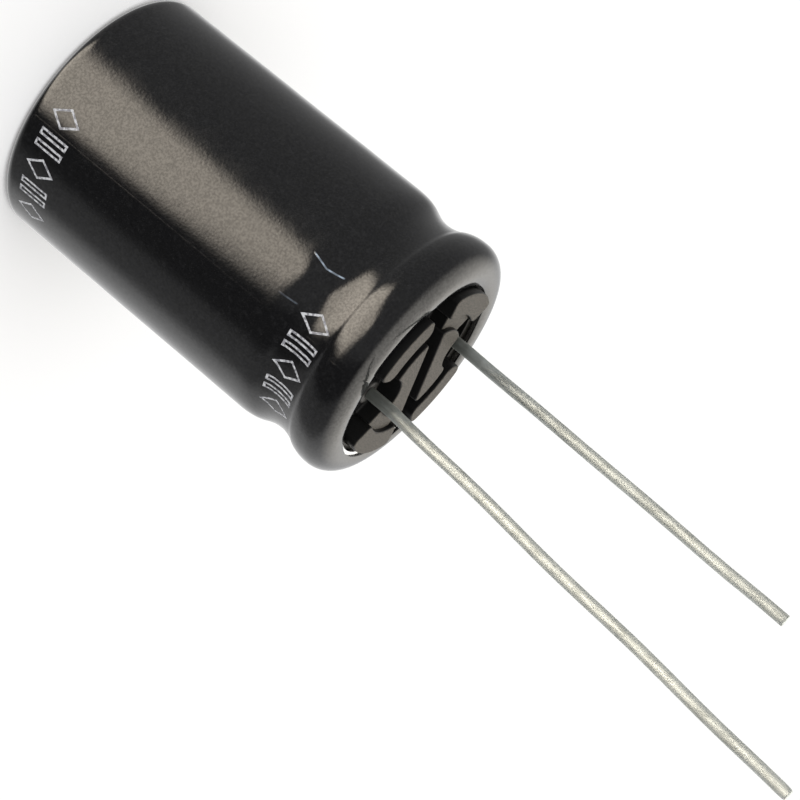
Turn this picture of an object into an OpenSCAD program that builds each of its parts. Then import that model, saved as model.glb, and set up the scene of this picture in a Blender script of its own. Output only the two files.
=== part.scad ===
// Radial aluminium electrolytic capacitor, standing on its closed end.
// Z runs up the barrel to the leads. The leads stand on the X axis, the long one at +X.

/* [Can] */
// Outside diameter of the bare aluminium can
can_d = 16; // [15.8:0.1:16.4]
// Height from the closed end to the crest of the curled rim, sleeve included
body_h = 25.6; // [25:0.1:30]
// Wall of the drawn can
can_wall = 0.35; // [0.3:0.05:0.4]
// Thickness of the closed end
base_t = 0.4; // [0.3:0.05:0.6]
// Corner radius of the closed end
corner_r = 0.55; // [0.45:0.05:1]
// Length of each arm of the vent score
vent_len = 9.5; // [6:0.5:11]
// Depth of the vent score
vent_depth = 0.18; // [0.1:0.02:0.24]

/* [Bead and curl] */
// Distance from the crest down to the middle of the bead groove
groove_drop = 3.97; // [3.9:0.05:4.4]
// Depth of the bead groove in the can
groove_depth = 1; // [0.8:0.05:1.1]
// Radius of the bottom of the bead groove
groove_r = 1.9; // [1.6:0.1:2]
// Radius of the two shoulders of the bead groove
shoulder_r = 1.36; // [1.2:0.02:1.4]
// Outside radius of the curled rim
curl_r = 1.35; // [1.2:0.05:1.4]
// How far the rim is curled over, measured from the barrel wall
curl_deg = 112; // [105:1:118]

/* [Sleeve] */
// Thickness of the shrunk sleeve
sleeve_t = 0.13; // [0.1:0.01:0.16]
// Depth of the dip where the sleeve bridges the groove
dip_depth = 0.6; // [0.5:0.05:0.65]
// Radius of the bottom of the dip
dip_r = 2.93; // [2.8:0.01:3]
// Radius of the two shoulders of the dip
dip_shoulder_r = 1.77; // [1.7:0.01:1.85]
// How far the sleeve turns in past the crest of the curl at the lead end
mouth_in = 0.5; // [0.45:0.01:0.55]
// How far the mouth was cut off centre
mouth_off = 0.2; // [0:0.05:0.25]
// Direction in which the mouth lies off centre
mouth_dir = 24; // [0:1:90]
// Width of the ring that the sleeve turns in under the closed end
foot_w = 1.4; // [1:0.1:2]

/* [Bung] */
// Depth of the bung's channel floor below the crest
floor_drop = 1; // [0.9:0.05:1.1]
// Height of the raised pads above the crest
pad_rise = 0.35; // [0:0.05:0.4]
// Depth of the bung below its channel floor
bung_depth = 5.7; // [5.4:0.1:6]
// Clear space between the pads and the sleeve's mouth
pad_gap = 0.3; // [0.25:0.05:0.5]
// Width of the four outer pads
pad_w = 1.6; // [1.4:0.1:1.8]
// Width of the round gas channel inside the outer pads
ring_w = 1.05; // [0.9:0.05:1.2]
// Width of the straight gas channel
channel_w = 1.3; // [1.1:0.1:1.5]
// Radius of the round hollow at each lead
hollow_r = 1.6; // [1.4:0.05:1.8]
// Radius of the collar that grips each wire
collar_r = 0.85; // [0.7:0.05:1]
// Height of that collar
collar_h = 0.35; // [0.2:0.05:0.5]
// How far the low bridges lie below the pads
bridge_drop = 0.3; // [0.2:0.05:0.5]
// Depth of the weld between stem and wire below the channel floor
weld_drop = 0.7; // [0.5:0.1:1]

/* [Leads] */
// Distance between the two leads
pitch = 7.5; // [7.4:0.05:7.6]
// Diameter of the tinned wire
wire_d = 0.8; // [0.6:0.05:0.9]
// Height of the long lead's tip above the crest
long_rise = 31.2; // [28:0.1:34]
// Height of the short lead's tip above the crest
short_rise = 24.86; // [22:0.1:27]
// Outward slant of the long lead
long_slant_deg = 5.47; // [1:0.01:7]
// Inward slant of the short lead
short_slant_deg = 1.48; // [0.5:0.01:3]
// Straight length of each lead above the crest before it bends
stub = 0.8; // [0.5:0.1:2]
// Diameter of the round aluminium stem
stem_d = 1.9; // [1.6:0.1:2]
// Thickness of the flattened tab
tab_t = 0.25; // [0.2:0.01:0.28]

/* [Wound element] */
// Thickness of the etched anode foil
anode_t = 0.26; // [0.24:0.01:0.27]
// Thickness of the cathode foil
cathode_t = 0.16; // [0.14:0.01:0.17]
// Thickness of each separator paper
paper_t = 0.14; // [0.12:0.01:0.15]
// Thickness of the closing tape
tape_t = 0.06; // [0.05:0.01:0.08]
// Clear space between the wound element and the can's wall
wall_room = 0.3; // [0.2:0.05:0.6]
// Clear space between the papers and the bung
head_room = 2.16; // [1.8:0.02:2.6]
// How far the papers stand out past the foils at each end
paper_edge = 0.8; // [0.5:0.1:1.2]
// Distance of the tape's and the tabs' edges from the foils' edges
inner_edge = 2; // [1:0.5:3]
// Angle by which the papers start before the foils and run on past the anode foil
tail_deg = 80; // [60:20:100]

/* [Hidden] */
$fn = 96;
// working clearances: sleeve on can, bung in can, leaf against leaf
shrink_gap = 0.01;
seal_gap = 0.02;
leaf_gap = 0.02;
// levels on Z
can_r = can_d / 2;
can_z0 = sleeve_t + shrink_gap;
curl_cz = body_h - sleeve_t - shrink_gap - curl_r;
curl_cx = can_r - curl_r;
groove_z = body_h - groove_drop;
can_floor = can_z0 + base_t;
bung_floor = body_h - floor_drop;
bung_low = bung_floor - bung_depth;
pad_top = body_h + pad_rise;
weld_z = bung_floor - weld_drop;
bend_z = body_h + stub;
leaf_top = bung_low - head_room;
paper_w = leaf_top - can_floor;
foil_z = can_floor + paper_edge;
foil_w = paper_w - 2 * paper_edge;
lead_x = pitch / 2;
wire_r = wire_d / 2;
stem_r = stem_d / 2;
// turn of the straight channel from square to the line of the leads
channel_deg = 3;
// both ends of the wide and the narrow outer pad and the radius of their corners; each has an opposite twin
wide_pad = [-153, -95, 0.4];
narrow_pad = [-75, -27, 0.5];
// plan of the lead end, from the sleeve's mouth inward
mouth_r = curl_cx - mouth_in;
pad_r = mouth_r - pad_gap;
ring_r = pad_r - pad_w;
mid_r = ring_r - ring_w;
// winding: each layer is an offset from one spiral, which starts where it meets the tabs
leaf_step = 10;
tape_join_deg = 2;
leaf_pitch = anode_t + cathode_t + 2 * paper_t + 4 * leaf_gap;
inner_paper_off = anode_t + leaf_gap;
cathode_off = inner_paper_off + paper_t + leaf_gap;
outer_paper_off = cathode_off + cathode_t + leaf_gap;
pos_phi = 3 * 360;
neg_phi = 2.5 * 360;
core_r = lead_x - leaf_pitch * pos_phi / 360 - anode_t - (leaf_gap + tab_t) / 2;
outer_turns = (can_r - can_wall - wall_room - core_r - tab_t - leaf_gap - tape_t) / leaf_pitch;
paper_end = leaf_step * floor((360 * (outer_turns - 1) + tape_join_deg) / leaf_step);
anode_end = paper_end - tail_deg;

// angle folded into -180 to 180
function fold(a) = a - 360 * floor((a + 180) / 360);
// rise of a layer over a tab: flat over the tab, then easing back
function hump(w) = abs(w) <= 24 ? 1 : abs(w) >= 66 ? 0 : (1 + cos(180 * (abs(w) - 24) / 42)) / 2;
// lift of a layer that first passes over a tab at angle from
function lift(phi, tab_phi, from) = phi > from ? (tab_t + leaf_gap) * hump(fold(phi - tab_phi)) : 0;
// radius of a layer: offset, and the turn on which it first covers each tab
function leaf_r(phi, off, over_pos, over_neg) = core_r + leaf_pitch * phi / 360 + off
    + lift(phi, pos_phi, pos_phi + over_pos) + lift(phi, neg_phi, neg_phi + over_neg);
function polar(r, a) = [r * cos(a), r * sin(a)];

// flat outline of one wound layer, with its corners on the same rays as every other layer's
module leaf(from, to, off, t, over_pos, over_neg) {
    first = floor(from / leaf_step);
    last = ceil(to / leaf_step);
    low = [for (i = [first : last]) let (p = max(from, min(to, i * leaf_step)))
        polar(leaf_r(p, off, over_pos, over_neg), p)];
    high = [for (i = [last : -1 : first]) let (p = max(from, min(to, i * leaf_step)))
        polar(leaf_r(p, off, over_pos, over_neg) + t, p)];
    polygon(concat(low, high));
}

// region cut away by a round groove with round shoulders at radius r
module groove_cut(r, depth, bottom, shoulder) {
    cx = r - depth + bottom;
    h = sqrt(pow(bottom + shoulder, 2) - pow(bottom + shoulder - depth, 2));
    difference() {
        polygon([[r + 3, groove_z - h], [r - shoulder, groove_z - h], [cx, groove_z],
            [r - shoulder, groove_z + h], [r + 3, groove_z + h]]);
        for (s = [-1, 1]) translate([r - shoulder, groove_z + s * h]) circle(shoulder);
    }
    translate([cx, groove_z]) circle(bottom);
}

// half section inside the can's outer surface, moved outward by off
module body_section(off, depth, bottom, shoulder) {
    r = can_r + off;
    c = corner_r + off;
    z0 = can_z0 - off;
    difference() {
        union() {
            translate([0, z0 + c]) square([r, curl_cz - z0 - c]);
            translate([0, z0]) square([r - c, c + 0.5]);
            translate([r - c, z0 + c]) circle(c);
            translate([curl_cx, curl_cz]) circle(curl_r + off);
        }
        groove_cut(r, depth, bottom - off, shoulder + off);
        translate([-20, -1]) square([20, 60]);
    }
}

// deep-drawn cup: flat closed end, bead groove and curled rim
module can_section() {
    difference() {
        body_section(0, groove_depth, groove_r, shoulder_r);
        difference() {
            body_section(-can_wall, groove_depth, groove_r, shoulder_r);
            translate([0, can_z0]) square([can_r, base_t]);
        }
        translate([curl_cx, curl_cz])
            polygon([[0, 0], can_r * [cos(curl_deg), sin(curl_deg)], can_r * [-1, 1], [-can_r, 0]]);
    }
}

module can() {
    color([0.82, 0.83, 0.84]) difference() {
        rotate_extrude() can_section();
        for (a = [0, 90]) rotate([0, 0, a + 45]) translate([0, 0, can_z0])
            rotate([45, 0, 0]) cube([vent_len, vent_depth * sqrt(2), vent_depth * sqrt(2)], center = true);
    }
}

// shrunk tube: follows the can, bridges the groove and turns in over both ends
module sleeve() {
    color([0.03, 0.03, 0.035]) difference() {
        rotate_extrude() difference() {
            body_section(shrink_gap + sleeve_t, dip_depth, dip_r + shrink_gap, dip_shoulder_r - shrink_gap);
            body_section(shrink_gap, dip_depth, dip_r + shrink_gap, dip_shoulder_r - shrink_gap);
        }
        rotate([0, 0, mouth_dir]) translate([mouth_off, 0, groove_z])
            cylinder(h = groove_drop + 1, r = mouth_r);
        translate([0, 0, -1]) cylinder(h = can_z0 + 1 + corner_r / 2, r = can_r - foot_w);
    }
}

// plan of a piece of a ring between two angles
module sector(r0, r1, from, to) {
    intersection() {
        difference() {
            circle(r1);
            circle(r0);
        }
        polygon([[0, 0], polar(3 * r1, from), polar(3 * r1, (from + to) / 2), polar(3 * r1, to)]);
    }
}

// plan of one outer pad: a piece of a ring with rounded corners, which stand out by a hundredth
module outer_pad(from, to, r) {
    low = asin(r / (ring_r + r));
    high = asin(r / (pad_r - r));
    sector(ring_r + r, pad_r - r, from, to);
    sector(ring_r, pad_r, from + low, to - low);
    for (e = [[ring_r + r, low], [pad_r - r, high]], a = [from + e[1], to - e[1]])
        translate(polar(e[0], a)) circle(r + 0.01);
}

// plan of the raised pads: a round middle, cut by the channel and the hollows, and the outer pads
module pads() {
    difference() {
        circle(mid_r);
        rotate([0, 0, channel_deg]) square([channel_w, 3 * mid_r], center = true);
        for (s = [-1, 1]) translate([s * lead_x, 0]) circle(hollow_r);
    }
    for (a = [0, 180], p = [wide_pad, narrow_pad]) rotate([0, 0, a]) outer_pad(p[0], p[1], p[2]);
}

// plan of the two low bridges that join the round middle to the wide pads
module bridges() {
    for (a = [0, 180]) rotate([0, 0, a]) sector(mid_r - 0.1, ring_r + 0.1, wide_pad[0] + 4, wide_pad[1] - 6);
}

// moulded rubber disc, squeezed by the bead and held down by the curl
module rubber_bung() {
    inset = can_wall + seal_gap;
    color([0.09, 0.09, 0.09]) difference() {
        union() {
            rotate_extrude() intersection() {
                union() {
                    body_section(-inset, groove_depth, groove_r, shoulder_r);
                    translate([0, bung_low]) square([pad_r, bung_depth]);
                }
                union() {
                    translate([0, bung_low]) square([can_r, bung_depth]);
                    translate([pad_r, bung_low]) square([can_r, bung_depth + 0.4]);
                }
            }
            translate([0, 0, bung_floor - 0.2]) {
                linear_extrude(pad_top - bung_floor + 0.2) pads();
                linear_extrude(pad_top - bung_floor + 0.2 - bridge_drop) bridges();
            }
            for (s = [-1, 1]) translate([s * lead_x, 0, bung_floor - 0.2])
                cylinder(h = collar_h + 0.2, r1 = collar_r + 0.1, r2 = collar_r - 0.1, $fn = 48);
        }
        for (s = [-1, 1]) translate([s * lead_x, 0, 0]) {
            translate([0, 0, bung_low - 1])
                cylinder(h = weld_z + 1 + seal_gap - bung_low, r = stem_r + seal_gap, $fn = 48);
            translate([0, 0, weld_z]) cylinder(h = 3, r = wire_r + seal_gap, $fn = 48);
        }
    }
}

// half space above (side 0) or below (side -1) the mitre of a bend
module mitre(slant, side) {
    translate([0, 0, bend_z]) rotate([0, slant / 2, 0]) translate([-2, -2, side * 4]) cube(4);
}

// tinned wire: straight out of the bung, one slight mitred bend, sheared tip
module bent_wire(slant, rise) {
    difference() {
        translate([0, 0, weld_z]) cylinder(h = bend_z + 1 - weld_z, r = wire_r, $fn = 48);
        mitre(slant, 0);
    }
    difference() {
        translate([0, 0, bend_z]) rotate([0, slant, 0]) translate([0, 0, -1])
            cylinder(h = (rise - stub) / cos(slant) + 1, r = wire_r, $fn = 48);
        mitre(slant, -1);
    }
}

module long_lead() {
    color([0.75, 0.76, 0.72]) translate([lead_x, 0, 0]) bent_wire(long_slant_deg, long_rise);
}

module short_lead() {
    color([0.75, 0.76, 0.72]) translate([-lead_x, 0, 0]) bent_wire(short_slant_deg, short_rise);
}

// aluminium tab: round stem in the bung, pressed flat where it lies on its foil
module tab(phi, off, over_pos, over_neg) {
    side = cos(phi);
    face = leaf_r(phi, off, over_pos, over_neg);
    neck_z = bung_low - 0.3;
    blade_z = leaf_top + 0.4;
    translate([side * lead_x, 0, neck_z]) cylinder(h = weld_z - neck_z, r = stem_r, $fn = 48);
    // the stem thins down to the blade between its two pressed faces
    intersection() {
        translate([side * lead_x, 0, blade_z]) cylinder(h = neck_z - blade_z, r = stem_r, $fn = 48);
        rotate([90, 0, 0]) translate([0, 0, -stem_d]) linear_extrude(2 * stem_d)
            polygon([[side * face, blade_z], [side * (face + tab_t), blade_z],
                [side * (lead_x + stem_r), neck_z], [side * (lead_x - stem_r), neck_z]]);
    }
    translate([0, 0, foil_z + inner_edge]) linear_extrude(blade_z + 0.3 - foil_z - inner_edge)
        leaf(phi - 20, phi + 20, off, tab_t, over_pos, over_neg);
}

module positive_tab() {
    color([0.8, 0.8, 0.82]) tab(pos_phi, anode_t + leaf_gap / 2, 180, 180);
}

module negative_tab() {
    color([0.8, 0.8, 0.82]) tab(neg_phi, cathode_off + cathode_t + leaf_gap / 2, 180, 180);
}

module anode_foil() {
    color([0.6, 0.61, 0.62]) translate([0, 0, foil_z]) linear_extrude(foil_w)
        leaf(0, anode_end, 0, anode_t, 180, 180);
}

module inner_paper() {
    color([0.86, 0.82, 0.7]) translate([0, 0, can_floor]) linear_extrude(paper_w)
        leaf(-tail_deg, paper_end, inner_paper_off, paper_t, -180, 180);
}

module cathode_foil() {
    color([0.72, 0.73, 0.74]) translate([0, 0, foil_z]) linear_extrude(foil_w)
        leaf(30, anode_end + tail_deg / 2, cathode_off, cathode_t, -180, 180);
}

module outer_paper() {
    color([0.86, 0.82, 0.7]) translate([0, 0, can_floor]) linear_extrude(paper_w)
        leaf(-tail_deg, paper_end, outer_paper_off, paper_t, -180, -180);
}

// one turn of tape from the papers' end, lying on the turn below
module closing_tape() {
    color([0.75, 0.6, 0.3]) translate([0, 0, foil_z + inner_edge]) linear_extrude(foil_w - 2 * inner_edge)
        leaf(paper_end + tape_join_deg, paper_end + 360 - tape_join_deg, 0, tape_t, 180, 180);
}

sleeve();
can();
rubber_bung();
long_lead();
short_lead();
positive_tab();
negative_tab();
anode_foil();
cathode_foil();
inner_paper();
outer_paper();
closing_tape();
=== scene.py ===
# %% [markdown]
# # Electrolytic capacitor: the looks
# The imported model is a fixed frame: it says where every piece is and how big it is. This notebook
# gives each piece its finish and remakes the four pieces whose skin shows up close: the shrunk
# sleeve, the rubber bung and the two tinned leads. Everything is in metres and in the frame's axes:
# the closed end stands on z = 0, the leads point up and the long lead is at +X.

import math

import bmesh
import bpy
import numpy as np
from mathutils import Matrix, Vector


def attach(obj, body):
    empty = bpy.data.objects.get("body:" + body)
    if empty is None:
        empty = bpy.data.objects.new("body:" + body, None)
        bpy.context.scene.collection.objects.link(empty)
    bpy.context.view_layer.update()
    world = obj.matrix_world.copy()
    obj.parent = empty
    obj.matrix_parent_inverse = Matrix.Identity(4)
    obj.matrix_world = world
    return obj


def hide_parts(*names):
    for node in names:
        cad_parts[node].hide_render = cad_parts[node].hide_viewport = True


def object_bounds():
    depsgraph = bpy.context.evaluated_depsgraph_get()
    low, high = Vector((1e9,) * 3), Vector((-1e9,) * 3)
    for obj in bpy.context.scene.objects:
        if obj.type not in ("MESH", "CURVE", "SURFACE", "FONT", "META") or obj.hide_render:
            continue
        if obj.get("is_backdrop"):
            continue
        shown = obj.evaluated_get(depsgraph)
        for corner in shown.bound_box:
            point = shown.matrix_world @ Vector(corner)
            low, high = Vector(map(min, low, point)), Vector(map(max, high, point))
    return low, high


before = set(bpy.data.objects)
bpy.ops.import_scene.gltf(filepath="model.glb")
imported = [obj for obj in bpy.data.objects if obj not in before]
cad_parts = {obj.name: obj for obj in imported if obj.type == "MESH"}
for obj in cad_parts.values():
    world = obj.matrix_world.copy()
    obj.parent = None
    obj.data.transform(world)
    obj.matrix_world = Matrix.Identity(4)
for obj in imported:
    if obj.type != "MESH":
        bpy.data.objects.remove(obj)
cad_low, cad_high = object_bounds()
MM = 0.001
SEED = 7
print("nodes:", ", ".join(sorted(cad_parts)))
print("frame box in mm:", [round(c / MM, 2) for c in (*cad_low, *cad_high)])

# %% [markdown]
# ## Camera
# The product was shot with a long lens from close by, fifteen degrees above the lead end's horizon,
# and the picture was then turned so that the barrel runs from the top left to the bottom right.
# A camera here is set by where it stands, which way it looks and how far it is rolled, so the same
# picture comes out of four plain numbers and a focal length.

# %% Camera
CAMERA_PLACE = Vector((0.08930, -0.09224, 0.06028))
LOOK_AZIMUTH = 133.2
LOOK_DOWN = 15.0
ROLL = 129.75
FOCAL_LENGTH = 104.35


def camera_axes(azimuth, down, roll):
    """Right, up and back of a camera that looks along azimuth, tipped down and rolled, in degrees."""
    a, d, r = (math.radians(x) for x in (azimuth, down, roll))
    look = Vector((math.cos(a) * math.cos(d), math.sin(a) * math.cos(d), -math.sin(d)))
    level_right = look.cross(Vector((0, 0, 1))).normalized()
    level_up = level_right.cross(look)
    right = math.cos(r) * level_right + math.sin(r) * level_up
    return right, right.cross(look), -look


def add_camera():
    right, up, back = camera_axes(LOOK_AZIMUTH, LOOK_DOWN, ROLL)
    data = bpy.data.cameras.new("camera")
    data.lens = FOCAL_LENGTH
    data.clip_start = 0.005
    camera = bpy.data.objects.new("camera", data)
    bpy.context.scene.collection.objects.link(camera)
    turn = Matrix((right, up, back)).transposed().to_4x4()
    camera.matrix_world = Matrix.Translation(CAMERA_PLACE) @ turn
    bpy.context.scene.camera = camera


add_camera()
bpy.context.scene.view_settings.view_transform = "Standard"
print("camera is", round((CAMERA_PLACE - (cad_low + cad_high) / 2).length, 3), "m from the middle")

# %% [markdown]
# ## Building nodes by hand
# A material is a small graph. These helpers add a node, set its values and link its inputs in one
# call, so that each finish below reads as a recipe.


# %% Node helpers
def add_node(tree, kind, settings=None, **inputs):
    """Adds a node; settings are its properties, inputs are values or sockets to link."""
    node = tree.nodes.new(kind)
    for name, value in (settings or {}).items():
        setattr(node, name, value)
    for name, value in inputs.items():
        key = int(name[2:]) if name.startswith("in") and name[2:].isdigit() else name.replace("_", " ")
        socket = node.inputs[key]
        if isinstance(value, bpy.types.NodeSocket):
            tree.links.new(value, socket)
        else:
            socket.default_value = value
    return node


def maths(tree, operation, first, second=0.5):
    """One maths node; first and second are numbers or sockets."""
    return add_node(tree, "ShaderNodeMath", {"operation": operation}, in0=first, in1=second).outputs[0]


def times(tree, first, second):
    return maths(tree, "MULTIPLY", first, second)


def ramp(tree, value, low, high, to_low=0.0, to_high=1.0):
    """A smooth step from to_low to to_high as value goes from low to high."""
    settings = {"interpolation_type": "SMOOTHSTEP"}
    node = add_node(tree, "ShaderNodeMapRange", settings, Value=value, From_Min=low, From_Max=high)
    node.inputs["To Min"].default_value = to_low
    node.inputs["To Max"].default_value = to_high
    return node.outputs[0]


def mix_colour(tree, share, first, second):
    """Colour between first and second; each is a colour or a socket."""
    node = add_node(tree, "ShaderNodeMix", {"data_type": "RGBA"})
    for key, value in (("Factor", share), ("A", first), ("B", second)):
        kinds = "VALUE" if key == "Factor" else "RGBA"
        socket = next(s for s in node.inputs if s.name == key and s.type == kinds)
        if isinstance(value, bpy.types.NodeSocket):
            tree.links.new(value, socket)
        elif kinds == "VALUE":
            socket.default_value = value
        else:
            socket.default_value = (*value, 1)
    return next(s for s in node.outputs if s.type == "RGBA")


def place(tree, stretch=(1, 1, 1)):
    """Position on the object, in metres, stretched for grain that runs one way."""
    where = add_node(tree, "ShaderNodeTexCoord").outputs["Object"]
    return add_node(tree, "ShaderNodeMapping", Vector=where, Scale=stretch).outputs[0]


def grain(tree, size, stretch=(1, 1, 1), detail=2.0, rough=0.5):
    """Noise whose lumps measure about size metres."""
    node = add_node(tree, "ShaderNodeTexNoise", Vector=place(tree, stretch), Scale=1 / size)
    node.inputs["Detail"].default_value = detail
    node.inputs["Roughness"].default_value = rough
    return node.outputs[0]


def new_material(name):
    """An empty material with its shader, ready for a recipe."""
    material = bpy.data.materials.new(name)
    material.use_nodes = True
    tree = material.node_tree
    return material, tree, tree.nodes["Principled BSDF"]


def link_finish(tree, shader, colour, roughness, height, depth):
    """Links colour, roughness and a bump of that depth in metres to the shader."""
    tree.links.new(colour, shader.inputs["Base Color"])
    tree.links.new(roughness, shader.inputs["Roughness"])
    bump = add_node(tree, "ShaderNodeBump", Height=height, Distance=depth, Strength=1.0)
    tree.links.new(bump.outputs[0], shader.inputs["Normal"])


# %% [markdown]
# ## Floor
# The floor is plain white paper. Its own colour does nearly all of it, and a glow that the camera
# alone sees adds the last step to pure white, so the object's shadow stays. Mirrored rays pass
# through it, because on the real table there was nothing below the barrel: down there the glossy
# film shows the room and not the paper.

# %% Floor
FLOOR_SIZE = 24.0
FLOOR_COLOUR = (0.845, 0.85, 0.86, 1)
PAPER_GLOW = 0.2


def add_floor():
    bpy.ops.mesh.primitive_plane_add(size=FLOOR_SIZE, location=(0, 0, 0))
    floor = bpy.context.object
    floor.name = "floor"
    floor.visible_glossy = False
    floor.visible_transmission = False
    material = bpy.data.materials.new("floor_paper")
    material.use_nodes = True
    tree = material.node_tree
    tree.nodes.clear()
    paper = add_node(tree, "ShaderNodeBsdfDiffuse", Color=FLOOR_COLOUR)
    lens = add_node(tree, "ShaderNodeLightPath").outputs["Is Camera Ray"]
    glow = add_node(tree, "ShaderNodeEmission", Strength=times(tree, lens, PAPER_GLOW))
    lit = add_node(tree, "ShaderNodeAddShader", in0=paper.outputs[0], in1=glow.outputs[0])
    clear = add_node(tree, "ShaderNodeBsdfTransparent")
    under = add_node(tree, "ShaderNodeNewGeometry").outputs["Backfacing"]
    seen = add_node(tree, "ShaderNodeMixShader", Fac=under, in1=lit.outputs[0], in2=clear.outputs[0])
    add_node(tree, "ShaderNodeOutputMaterial", Surface=seen.outputs[0])
    floor.data.materials.append(material)
    floor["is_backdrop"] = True


add_floor()
print("floor is", FLOOR_SIZE, "m across")

# %% [markdown]
# ## Sky
# A glossy black film shows its surroundings more than itself, so the sky is what draws it. Lamps and
# cards could stand round the object, but a sky that is worked out from directions has no seams and
# needs no room. It holds grey walls, a white backdrop, a gap of shade and one large warm softbox
# beside the lens. Each side of the softbox lies in a plane through the object, so the lamp is what
# lies beyond four ways at once, and its corners come by themselves. A pale patch overhead makes the
# wires bright. Soft rays get less of it, so that the matte rubber stays dark.

# %% Sky with a softbox
SOFTBOX_AZIMUTH = -44.0
SOFTBOX_LIGHT = (5.6, 5.05, 4.3)
# for each side of the lamp: turn and rise of the way that points square off it, and its softness
SOFTBOX_SIDES = ((96.4, -51.0, 4.0), (46.6, -1.0, 5.5), (-59.3, 4.6, 6.0), (-111.0, -60.1, 6.0))
# heights in the sky between which the lamp grows hotter, and dims at its foot, and by what share
HOT_LOW = (-0.68, -0.38, 1.24)
DIM_FOOT = (-0.96, -0.93, 0.6)
WALL_LIGHT = 0.41
BACKDROP_LIGHT = 0.95
SHADE_SHARE = 0.3
# turns between which the shade and the backdrop come in and go out
SHADE_TURNS = (12, 40, 58, 82)
BACKDROP_TURNS = (98, 120, 192, 214)
OVERHEAD = (-170, 65)
OVERHEAD_EDGE = (27, 70)
OVERHEAD_TINT = (1.0, 0.965, 0.9)
OVERHEAD_LIGHT = 2.4
OVERHEAD_SOFT = 0.8


def towards(turn, rise):
    """The way that lies turn degrees round from the softbox's azimuth and rise degrees up."""
    a, e = math.radians(turn + SOFTBOX_AZIMUTH), math.radians(rise)
    return Vector((math.cos(a) * math.cos(e), math.sin(a) * math.cos(e), math.sin(e)))


def beyond(tree, direction, way, low, high):
    """A smooth step in how far direction leans towards way, from low to high degrees."""
    lean = add_node(tree, "ShaderNodeVectorMath", {"operation": "DOT_PRODUCT"}, in0=direction, in1=way)
    return ramp(tree, lean.outputs["Value"], math.sin(math.radians(low)), math.sin(math.radians(high)))


def within(tree, value, stops):
    """1 between the middle two stops, with a smooth step on each side."""
    come, full, wane, gone = stops
    return times(tree, ramp(tree, value, come, full), ramp(tree, value, wane, gone, 1, 0))


def scaled(tree, colour, amount):
    node = add_node(tree, "ShaderNodeVectorMath", {"operation": "SCALE"}, in0=colour, Scale=amount)
    return node.outputs[0]


def add_sky():
    world = bpy.data.worlds.new("sky")
    bpy.context.scene.world = world
    world.use_nodes = True
    world.cycles.sampling_method = "NONE"
    tree = world.node_tree
    tree.nodes.clear()
    direction = add_node(tree, "ShaderNodeTexCoord").outputs["Generated"]
    turned = add_node(tree, "ShaderNodeVectorRotate", {"rotation_type": "Z_AXIS"}, Vector=direction)
    turned.inputs["Angle"].default_value = math.radians(-SOFTBOX_AZIMUTH)
    ahead, aside, above = add_node(tree, "ShaderNodeSeparateXYZ", Vector=turned.outputs[0]).outputs
    turn = times(tree, maths(tree, "ARCTAN2", aside, ahead), 180 / math.pi)
    shade = within(tree, turn, SHADE_TURNS)
    wall = ramp(tree, shade, 0, 1, WALL_LIGHT, WALL_LIGHT * SHADE_SHARE)
    behind = within(tree, maths(tree, "FLOORED_MODULO", turn, 360.0), BACKDROP_TURNS)
    room = add_node(tree, "ShaderNodeMix", in0=behind, in2=wall, in3=BACKDROP_LIGHT).outputs[0]
    rays = add_node(tree, "ShaderNodeLightPath").outputs
    grey = add_node(tree, "ShaderNodeCombineColor", Red=room, Green=room, Blue=room).outputs[0]
    ceiling = ramp(tree, rays["Is Glossy Ray"], 0, 1, OVERHEAD_SOFT, OVERHEAD_LIGHT)
    patch = beyond(tree, direction, towards(*OVERHEAD), *OVERHEAD_EDGE)
    around = mix_colour(tree, patch, grey, scaled(tree, OVERHEAD_TINT, ceiling))
    hot = times(tree, ramp(tree, above, *HOT_LOW, 1), ramp(tree, above, *DIM_FOOT, 1))
    inside = 1.0
    for side, rise, soft in SOFTBOX_SIDES:
        inside = times(tree, beyond(tree, direction, towards(side, rise), -soft, soft), inside)
    seen = mix_colour(tree, inside, around, scaled(tree, SOFTBOX_LIGHT, hot))
    colour = mix_colour(tree, rays["Is Camera Ray"], seen, (1.0, 1.0, 1.0))
    light = add_node(tree, "ShaderNodeBackground", Color=colour, Strength=1.0)
    add_node(tree, "ShaderNodeOutputWorld", Surface=light.outputs[0])


add_sky()
print("softbox at azimuth", SOFTBOX_AZIMUTH, "with", len(SOFTBOX_SIDES), "sides")

# %% [markdown]
# ### Key light
# One broad sun shades the matte rubber and throws the soft shadow on the floor. Mirrored rays pass
# it by, so that it adds no second lamp to the film.

# %% Key light
KEY_STRENGTH = 1.5
KEY_SPREAD = 50.0
KEY_FROM = Vector((0.35, -0.45, 1.0))


def add_key():
    data = bpy.data.lights.new("key", "SUN")
    data.energy = KEY_STRENGTH
    data.angle = math.radians(KEY_SPREAD)
    key = bpy.data.objects.new("key", data)
    bpy.context.scene.collection.objects.link(key)
    key.rotation_mode = "QUATERNION"
    key.rotation_quaternion = KEY_FROM.to_track_quat("Z", "Y")
    key.visible_glossy = False


add_key()
print("key light of", KEY_STRENGTH, "W/m2, spread over", KEY_SPREAD, "degrees")

# %% [markdown]
# ## Meshes from rings
# Sleeve, leads and bung are all closed loops that follow each other, like hoops on a barrel. One
# helper joins such loops to a mesh of four-sided faces; the rest of the file only works out where
# the loops lie.


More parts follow.
